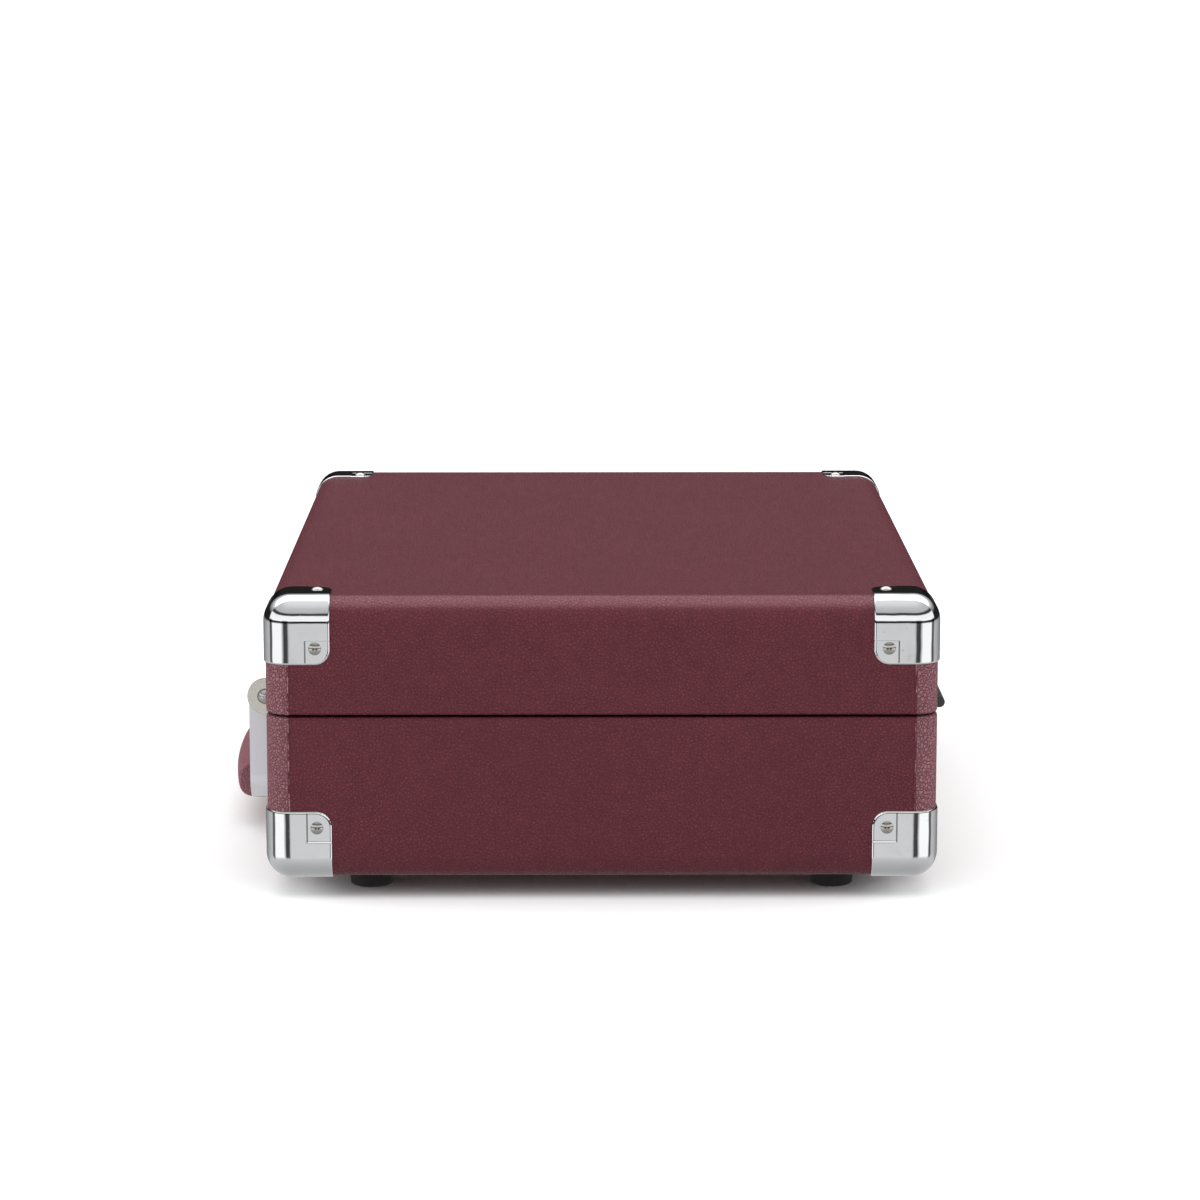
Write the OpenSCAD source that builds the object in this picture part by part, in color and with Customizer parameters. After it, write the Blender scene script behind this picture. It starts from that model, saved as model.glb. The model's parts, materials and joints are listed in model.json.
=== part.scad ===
// Suitcase record player: a hinged two-part case covered in leatherette,
// with plated corners, a folding handle, and a belt-driven turntable deck.
// Millimetres, +Z up. Origin: centre of the footprint, on the plane of the feet.
// The front (handle side) faces -Y, the hinges are on the +Y side.

/* [Case] */
// Width of the case, left to right
case_w = 355; // [350:1:360]
// Depth of the case, front to back
case_d = 267; // [264:1:270]
// Height of the base half, without feet
base_h = 66.6; // [66:0.2:68]
// Height of the lid half
lid_h = 47.2; // [47:0.2:49]
// Radius of every outer edge of the case
edge_r = 10; // [9:0.5:11]
// Gap at the parting line
part_gap = 1; // [0.8:0.1:1.4]
// Thickness of the leatherette covering
cover_t = 0.8; // [0.6:0.1:1]
// Height of the rubber feet
foot_h = 8; // [7:0.5:9]

/* [Corner plates] */
// Thickness of the plated corners
plate_t = 0.7; // [0.6:0.1:1]
// Length of each leg of a corner plate along the case edges
plate_leg = 26; // [24:0.5:28]
// Radius of the free corners of a plate
plate_r = 6; // [5:0.5:7]
// Diameter of a dome nail head
nail_d = 5.2; // [4.6:0.2:5.6]
// Height of a dome nail head
nail_h = 1; // [0.8:0.1:1.4]

/* [Deck] */
// Depth of the deck below the rim of the base
deck_drop = 6.6; // [6:0.1:7]
// Diameter of the platter
platter_d = 190; // [184:1:192]
// Diameter of the centre spindle
spindle_d = 7.1; // [7.1:0.02:7.14]
// Distance from tonearm pivot to stylus
arm_len = 187; // [185:1:189]
// Diameter of the tonearm tube
tube_d = 8.4; // [8:0.1:8.6]
// Diameter of the volume knob
volume_d = 22; // [20:0.5:23]

/* [Handle] */
// Distance between the outer faces of the handle arms
handle_w = 136; // [134:1:138]
// How far the grip stands out from the front of the case
handle_out = 25; // [24:0.5:26]
// Height of the handle pivots above the floor
handle_z = 60.9; // [60:0.1:61.5]

/* [Hidden] */
foot_y = 93;
journal_r = 4;                        // the platter's bearing

$fn = 64;
hinge_out = 4.7;                       // how far the hinge barrels stand out at the back
yoff = (handle_out - hinge_out) / 2;   // centres the whole footprint on the origin
hx = case_w / 2; hy = case_d / 2;
cx = hx - edge_r; cy = hy - edge_r;
z_part = foot_h + base_h;
z_top = z_part + lid_h;
z_flip = z_top + foot_h;               // lid shapes are the base shapes turned over
rim_z = z_part - part_gap / 2;
lid_z = z_part + part_gap / 2;
floor_z = foot_h + cover_t + 5;
deck_z = z_part - deck_drop;
deck_t = 3;
wall = 6.5;                            // wall of the lid and of the rim of the base
ledge = 9.5;                           // wall of the base below the deck
leather = [0.40, 0.23, 0.26]; chrome = [0.86, 0.88, 0.88]; black = [0.09, 0.09, 0.10];
steel = [0.72, 0.73, 0.75]; mdf = [0.62, 0.50, 0.36];

// turntable layout, in the case's own axes
sp = [-42, 10];                        // spindle
pv = [118, 88];                        // tonearm pivot
mo = [sp[0] - 58, sp[1] + 58];         // motor
ring_r = 70;                           // belt ring under the platter
pulley_r = 5;
arm_z = deck_z + 25;
cue_r = 38;
spk = [[-135, -90], [66, -90]];
ad = [-139, 95];
vol = [149, -92]; ton = [149, -62];
latch_x = 110; hinge_x = 131; hinge_w = 38;
hinge_y = hy + 2.5; barrel_r = 2.2;
py = -(hy + 8.3);                      // handle pivot
arm_x = handle_w / 2;
lz = deck_z - 3.5;                     // middle of the latch bolts

module place() { translate([0, yoff, 0]) children(); }
module four() { for (a = [0, 1], b = [0, 1]) mirror([a, 0, 0]) mirror([0, b, 0]) children(); }
module pair() { for (a = [0, 1]) mirror([a, 0, 0]) children(); }
module along_x(l) { rotate([90, 0, 90]) linear_extrude(l) children(); }   // 2D (y, z) swept to +X
module along_y(l) { rotate([90, 0, 0]) linear_extrude(l) children(); }    // 2D (x, z) swept to -Y
module rrect(w, h, r) {
  square([w - 2 * r, h], center = true);
  square([w, h - 2 * r], center = true);
  for (a = [-1, 1], b = [-1, 1]) translate([a * (w / 2 - r), b * (h / 2 - r)]) circle(r);
}
// one edge of the case in section: flat above, quarter round below
module edge2d(r, zb, zt) {
  translate([0, zb + r]) square([r, zt - zb - r]);
  intersection() { translate([0, zb + r]) circle(r); translate([0, zb]) square([r, r]); }
}
// rounded tray, grown by d on every outer face, cut level at zt
module tray(d, zt) {
  r = edge_r + d; zb = foot_h - d;
  translate([-cx, -cy, zb]) cube([2 * cx, 2 * cy, zt - zb]);
  for (b = [0, 1]) mirror([0, b, 0]) translate([-cx, cy, 0]) along_x(2 * cx) edge2d(r, zb, zt);
  for (a = [0, 1]) mirror([a, 0, 0]) translate([cx, cy, 0]) along_y(2 * cy) edge2d(r, zb, zt);
  four() translate([cx, cy, 0]) rotate_extrude(angle = 90) edge2d(r, zb, zt);
}
module flip() { translate([0, 0, z_flip]) mirror([0, 0, 1]) children(); }
module hollow(inset, r) { rrect(case_w - 2 * inset, case_d - 2 * inset, r); }
// region with one rounded corner at (a, b), open towards + on both axes
module keep2d(a, b) {
  translate([a + plate_r, b]) square([70, 70]);
  translate([a, b + plate_r]) square([70, 70]);
  translate([a + plate_r, b + plate_r]) circle(plate_r);
}
module plate_zone(up) {               // for the base: legs reach up the walls by "up"
  four() intersection() {
    translate([0, 0, -5]) linear_extrude(150) keep2d(hx - plate_leg, hy - plate_leg);
    translate([0, 0, foot_h + up]) mirror([0, 0, 1]) along_x(200) keep2d(hy - plate_leg, -0.5);
    translate([0, 200, foot_h + up]) mirror([0, 0, 1]) along_y(200) keep2d(hx - plate_leg, -0.5);
  }
}
module plates(up) { intersection() { difference() { tray(plate_t, 60); tray(0, 70); } plate_zone(up); } }
// dome nail pointing up from z = 0
module nail() {
  rc = (pow(nail_d / 2, 2) + nail_h * nail_h) / nail_h / 2;
  rotate_extrude() intersection() { translate([0, nail_h - rc]) circle(rc); square([nail_d, nail_d]); }
  translate([0, 0, -4]) cylinder(r = 1, h = 4);
}
module nails(up) {
  n = 5.8;
  four() {
    translate([hx + plate_t, hy - plate_leg + n, foot_h + up - n - 0.7]) rotate([0, 90, 0]) nail();
    translate([hx - plate_leg + n, hy + plate_t, foot_h + up - n - 0.7]) rotate([-90, 0, 0]) nail();
    translate([hx - plate_leg + n, hy - plate_leg + n, foot_h - plate_t]) rotate([180, 0, 0]) nail();
  }
}

// ---------------------------------------------------------------- case
module base_shell() { color(mdf) place() difference() {
  tray(-cover_t, rim_z - cover_t);
  translate([0, 0, floor_z]) linear_extrude(80) hollow(ledge, 4);
  translate([0, 0, deck_z - deck_t]) linear_extrude(80) hollow(wall, 5);
  pair() translate([latch_x - 9, -hy, lz - 6]) cube([18, 5.5, 12]);
  translate([-104, hy - 12, 30]) cube([74, 14, 24]);
  four() translate([149, foot_y, 0]) cylinder(r = 2, h = 60);
} }
module base_covering() { color(leather) place() difference() {
  tray(0, rim_z);
  tray(-cover_t, rim_z - cover_t);
  translate([0, 0, rim_z - 5]) linear_extrude(10) hollow(wall, 5);
  pair() translate([latch_x - 9, -hy - 2, lz - 6]) cube([18, 5.5, 12]);
  translate([-104, hy - 12, 30]) cube([74, 14, 24]);
  four() translate([149, foot_y, 0]) cylinder(r = 2, h = 60);
} }
module base_corner_plates() { color(chrome) place() plates(plate_leg + 1.5); }
module base_corner_nails() { color(chrome) place() nails(plate_leg + 1.5); }
module rubber_feet() { color(black) place() four() translate([149, foot_y, 0]) rotate_extrude()
  difference() {
    polygon([[0, 0], [8.1, 0], [8.7, 0.6], [9.2, foot_h], [0, foot_h]]);
    translate([-1, -1]) square([5, 4]);
    translate([-1, -1]) square([3, 20]);
  } }
module lid_shell() { color(mdf) place() difference() {
  flip() tray(-cover_t, z_flip - lid_z - cover_t);
  translate([0, 0, z_part - 10]) linear_extrude(lid_h + 10 - 5 - cover_t) hollow(wall, 5);
} }
module lid_covering() { color(leather) place() difference() {
  flip() tray(0, z_flip - lid_z);
  flip() tray(-cover_t, z_flip - lid_z - cover_t);
  translate([0, 0, z_part - 10]) linear_extrude(20) hollow(wall, 5);
} }
module lid_corner_plates() { color(chrome) place() flip() plates(plate_leg - 0.2); }
module lid_corner_nails() { color(chrome) place() flip() nails(plate_leg - 0.2); }
module lid_lining() { color([0.16, 0.10, 0.11]) place() difference() {
  translate([0, 0, lid_z]) linear_extrude(z_top - 5 - cover_t - lid_z) hollow(wall, 5);
  translate([0, 0, lid_z - 1]) linear_extrude(z_top - 5 - cover_t - 0.7 - lid_z + 1) hollow(wall + 0.7, 4.3);
} }

// ---------------------------------------------------------------- deck
module grille() {                     // slots clipped by a circle
  intersection() {
    circle(27);
    for (i = [-5 : 5]) translate([i * 4.8 - 1.1, -30]) square([2.2, 60]);
  }
}
slots = [[72, 106, 18, 4], [152, 40, 4, 14], [149, -22, 4, 20]];   // x, y, length x, length y
module deck_plate() { color(black) place() translate([0, 0, deck_z - deck_t]) difference() {
  linear_extrude(deck_t) difference() {
    hollow(wall + 0.3, 4.7);
    for (p = spk) translate(p) grille();
    translate(sp) circle(journal_r + 0.2);
    translate(mo) circle(9);
    translate(pv) circle(9);
    translate(vol) circle(3.3);
    translate(ton) circle(3.3);
    translate([149, -110]) circle(1.6);
    translate([100, -112]) circle(3.2);
    translate([pv[0] - cue_r * sin(25), pv[1] - cue_r * cos(25)]) circle(2.6);
    for (s = slots) translate([s[0] - s[2] / 2, s[1] - s[3] / 2]) square([s[2], s[3]]);
    for (a = [-1, 1], b = [-1, 1]) translate([a * 164, b * 121]) circle(1.6);
  }
  translate([ad[0], ad[1], deck_t - 1.2]) cylinder(r = 19.7, h = 5);
} }
// four up through the feet, four down through the deck
module case_screws() { color(steel) place() four() {
  translate([149, foot_y, 3]) { translate([0, 0, -1.6]) cylinder(r = 3.6, h = 1.6); cylinder(r = 2, h = foot_h + 2); }
  translate([164, 121, deck_z]) { cylinder(r1 = 3, r2 = 2.4, h = 1.2); translate([0, 0, -3]) cylinder(r = 1.6, h = 3); }
} }
module motor() { color(steel) place() translate([mo[0], mo[1], 0]) difference() {
  union() {
    translate([0, 0, 34]) cylinder(r = 16, h = 24);
    translate([0, 0, 58]) linear_extrude(1.2) { circle(16); square([48, 10], center = true); translate([24, 0]) circle(5); translate([-24, 0]) circle(5); }
    translate([0, 0, 58]) cylinder(r = 4, h = 4);
  }
  translate([0, 0, 40]) cylinder(r = 1.05, h = 40);
  for (a = [-1, 1]) translate([24 * a, 0, 50]) cylinder(r = 2.6, h = 20);
} }
module motor_grommets() { color(black) place() for (a = [-1, 1]) translate([mo[0] + 24 * a, mo[1], 0])
  { translate([0, 0, 59.2]) cylinder(r = 4.4, h = deck_z - deck_t - 59.2); translate([0, 0, 56]) cylinder(r = 2.6, h = 3.2); translate([0, 0, 55.4]) cylinder(r = 4, h = 2.6); } }
module motor_shaft() { color(steel) place() translate([mo[0], mo[1], 41]) cylinder(r = 1, h = 35); }
module motor_pulley() { color([0.72, 0.58, 0.30]) place() translate([mo[0], mo[1], 0]) difference() {
  rotate_extrude() polygon([[0, 70], [6, 70], [6, 70.8], [pulley_r, 71.4], [pulley_r, 76.2], [6, 76.6], [6, 77], [0, 77]]);
  translate([0, 0, 60]) cylinder(r = 1, h = 16);
} }
module belt2d(g) { hull() { translate(sp) circle(ring_r + g, $fn = 144); translate(mo) circle(pulley_r + g, $fn = 48); } }
module drive_belt() { color(black) place() translate([0, 0, 71.8]) linear_extrude(4) difference() { belt2d(1); belt2d(0.4); } }
module spindle() { color(steel) place() translate([sp[0], sp[1], 0]) {
  translate([0, 0, deck_z - 13]) cylinder(r = journal_r, h = 26.3);
  translate([0, 0, deck_z + 13.3]) cylinder(d = spindle_d, h = 9.2);
  translate([0, 0, deck_z + 22.5]) rotate_extrude() intersection() { circle(d = spindle_d); translate([0, 0]) square([4, 1.8]); }
  translate([0, 0, deck_z - deck_t - 2]) cylinder(r = 10, h = 2);
} }
module thrust_washer() { color("ivory") place() translate([sp[0], sp[1], deck_z]) difference() {
  cylinder(r = 9, h = 1.9); translate([0, 0, -1]) cylinder(r = journal_r + 0.05, h = 5); } }
module platter() { color([0.15, 0.15, 0.16]) place() translate([sp[0], sp[1], deck_z + 2]) rotate_extrude() union() {
  translate([6, 8]) square([platter_d / 2 - 7, 2]);
  translate([platter_d / 2 - 2, 0.5]) square([2, 8.5]);
  translate([platter_d / 2 - 2, 9]) square([1, 1]);
  intersection() { translate([platter_d / 2 - 1, 9]) circle(1); translate([platter_d / 2 - 1, 9]) square([1, 1]); }
  translate([ring_r - 2, 1]) square([2, 7.2]);
  translate([6, 0]) square([6, 8.2]);
} }
module platter_bush() { color([0.72, 0.58, 0.30]) place() translate([sp[0], sp[1], deck_z + 2]) difference() {
  cylinder(r = 6, h = 10); translate([0, 0, -1]) cylinder(r = journal_r + 0.03, h = 20); } }
module slipmat() { color([0.12, 0.12, 0.13]) place() translate([sp[0], sp[1], deck_z + 12]) difference() {
  cylinder(r = platter_d / 2 - 2, h = 1.5); translate([0, 0, -1]) cylinder(r = 4.6, h = 5); } }

// ---------------------------------------------------------------- tonearm
module tonearm_base() { color(black) place() translate([pv[0], pv[1], 0]) {
  translate([0, 0, deck_z - 8]) cylinder(r = 8.8, h = 8);
  translate([0, 0, deck_z]) cylinder(r = 20, h = 9);
  translate([0, 0, deck_z + 9]) cylinder(r1 = 20, r2 = 17, h = 3);
  translate([0, 0, deck_z + 12]) cylinder(r = 3, h = 5.6);
} }
module arm_yoke() { color([0.2, 0.2, 0.21]) place() translate([pv[0], pv[1], 0]) difference() {
  union() {
    translate([0, 0, deck_z + 12.4]) cylinder(r = 13, h = 6.6);
    for (a = [-1, 1]) {
      translate([a * 10 - 2, -5, deck_z + 19]) cube([4, 10, 6]);
      translate([a * 10 - 2, 0, arm_z]) rotate([0, 90, 0]) cylinder(r = 5, h = 4);
    }
  }
  translate([0, 0, deck_z + 10]) cylinder(r = 3.06, h = 8);
  translate([-20, 0, arm_z]) rotate([0, 90, 0]) cylinder(r = 1.6, h = 40);
} }
module tonearm_tube() { color([0.75, 0.75, 0.77]) place() translate([pv[0], pv[1], arm_z]) {
  translate([-6.5, -9, -4.6]) cube([13, 18, 9.2]);
  translate([-12.5, 0, 0]) rotate([0, 90, 0]) cylinder(r = 1.55, h = 25);
  rotate([90, 0, 0]) translate([0, 0, 8]) cylinder(d = tube_d, h = arm_len - 37 - 8);
  rotate([-90, 0, 0]) translate([0, 0, 8]) cylinder(r = 3, h = 14);
} }
module headshell() { color(black) place() translate([pv[0], pv[1] - arm_len, arm_z]) difference() {
  union() {
    translate([0, 37, 0]) rotate([90, 0, 0]) cylinder(r = 5.4, h = 9);
    translate([0, 8, -3.5]) linear_extrude(5) rrect(17, 44, 3);
    translate([8.5, -6, -1.5]) cube([9, 4, 1.5]);
  }
  translate([-6.5, -12, -4]) cube([13, 36, 4]);
} }
module cartridge() { color([0.55, 0.10, 0.10]) place() translate([pv[0], pv[1] - arm_len, arm_z]) difference() {
  translate([-5, -9, -7.5]) cube([10, 26, 7.5]);
  translate([-6, -10, -8]) cube([12, 10, 3.5]);
} }
module stylus() { color("white") place() translate([pv[0], pv[1] - arm_len, arm_z]) {
  translate([-1.2, -3, -7]) cube([2.4, 3, 2.5]);
  translate([0, -1.6, -9.2]) cylinder(r1 = 0.3, r2 = 0.9, h = 2.2);
} }
module counterweight() { color([0.2, 0.2, 0.21]) place() translate([pv[0], pv[1], arm_z]) rotate([-90, 0, 0])
  difference() { translate([0, 0, 15]) cylinder(r = 9, h = 13); translate([0, 0, 5]) cylinder(r = 3, h = 17); } }
module arm_rest() { color(black) place() translate([pv[0], -18, 0]) {
  translate([0, 0, deck_z]) linear_extrude(2) rrect(18, 12, 3);
  translate([-3, -3, deck_z]) cube([6, 6, arm_z - deck_z - tube_d / 2 - 2.4]);
  translate([-6, -3, arm_z - tube_d / 2 - 2.4]) cube([14.5, 6, 2]);
  translate([tube_d / 2 + 0.5, -3, arm_z - tube_d / 2 - 2.4]) cube([3, 6, 8]);
} }
module cue_bracket() { color(black) place() translate([146, 76, deck_z]) difference() {
  union() { translate([-7, -9, 0]) cube([14, 18, 3]); for (a = [-7, 4]) translate([a, -5, 3]) cube([3, 10, 8]); }
  translate([-10, 0, 7]) rotate([0, 90, 0]) cylinder(r = 1.6, h = 20);
} }
module cue_lever() { color(black) place() translate([146, 76, deck_z + 7]) {
  translate([-3.6, 0, 0]) rotate([0, 90, 0]) cylinder(r = 3.4, h = 7.2);
  translate([-6.8, 0, 0]) rotate([0, 90, 0]) cylinder(r = 1.55, h = 13.6);
  translate([-2, -24, -1.2]) cube([4, 24, 2.4]);
  translate([0, -24, -1.2]) cylinder(r = 3.5, h = 2.4);
} }
module cue_lift() { color([0.3, 0.3, 0.31]) place() translate([pv[0], pv[1], 0]) {
  translate([0, 0, arm_z - tube_d / 2 - 3.4]) rotate([0, 0, -145]) rotate_extrude(angle = 60)
    translate([cue_r - 1.5, 0]) square([3, 3]);
  translate([-cue_r * sin(25), -cue_r * cos(25), deck_z - 8]) cylinder(r = 2.5, h = arm_z - tube_d / 2 - 2 - deck_z + 8);
} }

// ---------------------------------------------------------------- controls
module knob(r, h) {                   // skirted knob with a stem and a pointer notch
  difference() {
    union() {
      rotate_extrude() polygon([[0, 0.8], [r, 0.8], [r, 2], [r - 0.8, 2.8], [0, 2.8]]);
      translate([0, 0, 2.8]) linear_extrude(h - 2.8) difference() {
        circle(r - 1.4);
        if (r > 9) for (i = [0 : 17]) rotate([0, 0, 20 * i + 10]) translate([r - 0.6, 0]) circle(1.3);
      }
      translate([0, 0, -8]) cylinder(r = 3, h = 9);
    }
    translate([-0.5, r - 5, h - 0.8]) cube([1, 5, 3]);
  }
}
module volume_knob() { color(black) place() translate([vol[0], vol[1], deck_z]) knob(volume_d / 2, 12); }
module tone_knob() { color(black) place() translate([ton[0], ton[1], deck_z]) knob(7.5, 9.5); }
module slider(lx, ly) {               // thumb piece on a stem
  translate([-1.5, -1.5, -3.4]) cube([3, 3, 4]);
  translate([0, 0, 0.4]) linear_extrude(4.2) rrect(lx, ly, 1);
}
module speed_switch() { color(steel) place() translate([slots[0][0] - 7, slots[0][1], deck_z]) slider(4, 7); }
module autostop_switch() { color(black) place() translate([slots[1][0], slots[1][1] - 5, deck_z]) slider(7, 4); }
module source_switch() { color(black) place() translate([slots[2][0], slots[2][1] - 8, deck_z]) slider(7, 4); }
module potentiometers() { color([0.35, 0.35, 0.36]) place() for (p = [vol, ton]) translate([p[0], p[1], deck_z - deck_t]) difference() {
  union() { translate([0, 0, -9]) cylinder(r = 8, h = 9); }
  translate([0, 0, -6]) cylinder(r = 3.1, h = 12);
} }
module switch_bodies() { color([0.35, 0.35, 0.36]) place() for (s = slots)
  translate([s[0] - s[2] / 2 - 2, s[1] - s[3] / 2 - 2, deck_z - deck_t - 8]) cube([s[2] + 4, s[3] + 4, 7.3]); }
module power_led() { color("red") place() translate([149, -110, deck_z - 6]) {
  cylinder(r = 1.6, h = 6.4); translate([0, 0, 6.4]) rotate_extrude() intersection() { circle(1.6); square([2, 1.6]); } } }
module headphone_jack() { color([0.25, 0.25, 0.26]) place() translate([100, -112, deck_z - 15]) difference() {
  union() { cylinder(r = 5, h = 12); translate([0, 0, 12]) cylinder(r = 3.2, h = 3.6); }
  translate([0, 0, 1]) cylinder(r = 1.8, h = 20);
} }
module adapter_45() { color([0.2, 0.2, 0.21]) place() translate([ad[0], ad[1], deck_z - 1.2]) difference() {
  cylinder(r = 19.1, h = 5);
  translate([0, 0, 3.6]) difference() { cylinder(r = 16, h = 3); cylinder(r = 7, h = 3); }
  translate([0, 0, -1]) cylinder(r = 3.65, h = 8);
} }

// ---------------------------------------------------------------- works under the deck
module speaker_frames() { color([0.3, 0.3, 0.31]) place() for (p = spk) translate([p[0], p[1], deck_z - deck_t]) rotate_extrude()
  polygon([[26.5, 0], [31, 0], [31, -1.2], [28.6, -1.2], [16.5, -16], [10.2, -16], [10.2, -14.8], [15.8, -14.8], [26.5, -1.6]]); }
module speaker_cones() { color([0.06, 0.06, 0.06]) place() for (p = spk) translate([p[0], p[1], deck_z - deck_t]) rotate_extrude()
  polygon([[0, -9], [8, -10], [26.3, -1.4], [26.3, -0.8], [24.5, -0.8], [8, -8.8], [4, -7.2], [0, -6.6]]); }
module speaker_magnets() { color(steel) place() for (p = spk) translate([p[0], p[1], deck_z - deck_t - 27]) { cylinder(r = 17, h = 11); translate([0, 0, 11]) cylinder(r = 10, h = 4.4); } }
module main_board() { color([0.10, 0.30, 0.14]) place() {
  translate([20, -40, 22]) cube([110, 70, 1.6]);
  for (x = [25, 125], y = [-35, 25]) translate([x, y, floor_z]) cylinder(r = 3, h = 22 - floor_z);
  translate([40, 0, 23.6]) cube([30, 12, 14]);
  for (i = [0 : 3]) translate([85 + i * 11, 10, 23.6]) cylinder(r = 4, h = 12);
  translate([90, -25, 23.6]) cube([14, 14, 3]);
} }
module rear_panel() { color(black) place() difference() {
  union() { translate([-109, hy - ledge - 2, 25.5]) cube([84, 2, 33]); 
    difference() { translate([-103.8, hy - ledge, 30.2]) cube([73.6, 9, 23.6]); translate([-102, hy - ledge - 1, 32]) cube([70, 20, 20]); } }
  for (x = [-92, -76]) translate([x, 0, 42]) rotate([-90, 0, 0]) cylinder(r = 4.4, h = 200);
  for (x = [-60]) translate([x, 0, 42]) rotate([-90, 0, 0]) cylinder(r = 3.6, h = 200);
  translate([-44, 0, 42]) rotate([-90, 0, 0]) cylinder(r = 4.4, h = 200);
} }
module rear_jacks() { color(chrome) place() {
  for (x = [-92, -76]) translate([x, hy - ledge - 8, 42]) rotate([-90, 0, 0]) difference() { cylinder(r = 4.2, h = 15.5); translate([0, 0, 7]) cylinder(r = 1.7, h = 20); }
  translate([-60, hy - ledge - 14, 42]) rotate([-90, 0, 0]) difference() { cylinder(r = 3.4, h = 15.5); translate([0, 0, 1]) cylinder(r = 1.8, h = 20); }
  translate([-44, hy - ledge - 12, 42]) rotate([-90, 0, 0]) difference() { cylinder(r = 4.2, h = 13.5); translate([0, 0, 3.5]) cylinder(r = 2.8, h = 20); }
} }

// ---------------------------------------------------------------- latches
module latch_plates() { color(chrome) place() pair() difference() {
  union() {
    translate([latch_x, -hy, lz - 1]) along_y(1.2) rrect(30, 17, 2);
    translate([latch_x - 6.5, -hy, lz - 4]) cube([13, 4.4, 8]);
  }
  translate([latch_x - 4.4, -hy - 5, lz - 2]) cube([8.8, 12, 4]);
} }
module bolt() { translate([-4.2, -hy - 1.6, lz - 1.8]) cube([8.4, 5.6, 3.6]); }
module latch_bolt_left() { color(steel) place() translate([-latch_x, 0, 0]) bolt(); }
module latch_bolt_right() { color(steel) place() translate([latch_x, 0, 0]) bolt(); }
hasp_z = lid_z + 4.4;
module hasp() { difference() {
  union() {
    translate([-6, -hy - 1.9, hasp_z]) rotate([0, 90, 0]) cylinder(r = 1.4, h = 12);
    translate([0, -hy - 2.1, (hasp_z + lz - 7) / 2]) along_y(1.2) rrect(24, hasp_z - lz + 7 - 0.8, 1.5);
    translate([-6, -hy - 4.1, lz - 7.4]) cube([12, 2.4, 1.6]);
  }
  translate([-20, -hy - 1.9, hasp_z]) rotate([0, 90, 0]) cylinder(r = 0.75, h = 40);
  translate([-6, -hy - 8, lz - 2.6]) cube([12, 8, 5.2]);
  for (a = [-1, 1]) translate([a * 10 - 3.7, -hy - 8, hasp_z - 2]) cube([7.4, 8, 8]);
} }
module hasp_left() { color(chrome) place() translate([-latch_x, 0, 0]) hasp(); }
module hasp_right() { color(chrome) place() translate([latch_x, 0, 0]) hasp(); }
module hasp_hinges() { color(chrome) place() pair() translate([latch_x, 0, 0]) {
  translate([0, -hy, hasp_z + 6.6]) along_y(0.9) rrect(26, 9, 2);
  for (a = [-1, 1]) {
    translate([a * 9.6 - 3.3, -hy - 1.9, hasp_z]) rotate([0, 90, 0]) cylinder(r = 1.4, h = 6.6);
    translate([a * 9.6 - 3.3, -hy - 0.9, hasp_z - 0.6]) cube([6.6, 0.9, 5]);
  }
  translate([-11, -hy - 1.9, hasp_z]) rotate([0, 90, 0]) cylinder(r = 0.7, h = 22);
} }

// ---------------------------------------------------------------- handle
module handle_brackets() { color(chrome) place() pair() {
  translate([arm_x + 0.3, 0, 0]) along_x(1.6) { translate([py, handle_z]) circle(7.6); translate([py, handle_z - 7.6]) square([-hy - py, 15.2]); }
  translate([arm_x + 1.9, -hy - 1.4, handle_z - 7.6]) cube([14, 1.4, 15.2]);
  // pivot bolt with its domed head, and the nut inside the arm
  translate([arm_x - 4.4, py, handle_z]) rotate([0, 90, 0]) cylinder(r = 2, h = 6.3);
  translate([arm_x + 1.9, py, handle_z]) rotate([0, 90, 0]) rotate_extrude() intersection() { translate([0, -1.2]) circle(3.2); square([4, 4]); }
  translate([arm_x - 4.4, py, handle_z]) rotate([0, 90, 0]) cylinder(r = 3.4, h = 2);
  for (b = [-4.5, 4.5]) translate([arm_x + 11, -hy - 1.4, handle_z + b]) rotate([90, 0, 0]) cylinder(r = 1.8, h = 0.7);
} }
hw = 14; gz = 14.9; bend = 11.5;
module handle_frame() { color([0.81, 0.81, 0.83]) place() {
  pair() translate([arm_x - 2, 0, 0]) along_x(2) difference() {
    union() { translate([py, handle_z]) circle(hw / 2); translate([py - hw / 2, gz + bend]) square([hw, handle_z - gz - bend]); }
    translate([py, handle_z]) circle(2.08);
  }
  translate([0, py + hw / 2, 0]) along_y(hw) {
    for (a = [0, 1]) mirror([a, 0]) intersection() {
      translate([arm_x - bend, gz + bend]) difference() { circle(bend); circle(bend - 2); }
      translate([arm_x - bend, gz]) square([bend, bend]);
    }
    translate([-arm_x + bend, gz]) square([2 * (arm_x - bend), 2]);
  }
} }
module grip_slice(x, out, h) { translate([x, 0, gz + 6.1]) along_x(0.5) hull() for (b = [-1, 1]) {
  translate([-hy - 7.5, b * (h / 2 - 4.5)]) circle(4.5, $fn = 32);
  translate([-hy - out + 5.5, b * (h / 2 - 6.2)]) circle(5.5, $fn = 32);
} }
module handle_grip() { color(leather) place() difference() {
  hull() { grip_slice(-53, 20.6, 15.4); grip_slice(-34, handle_out - 1, 19); grip_slice(-14, handle_out, 21.3); grip_slice(13.5, handle_out, 21.3); grip_slice(33.5, handle_out - 1, 19); grip_slice(52.5, 20.6, 15.4); }
  translate([-60, py - hw / 2, gz]) cube([120, hw, 2]);
} }

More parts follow.
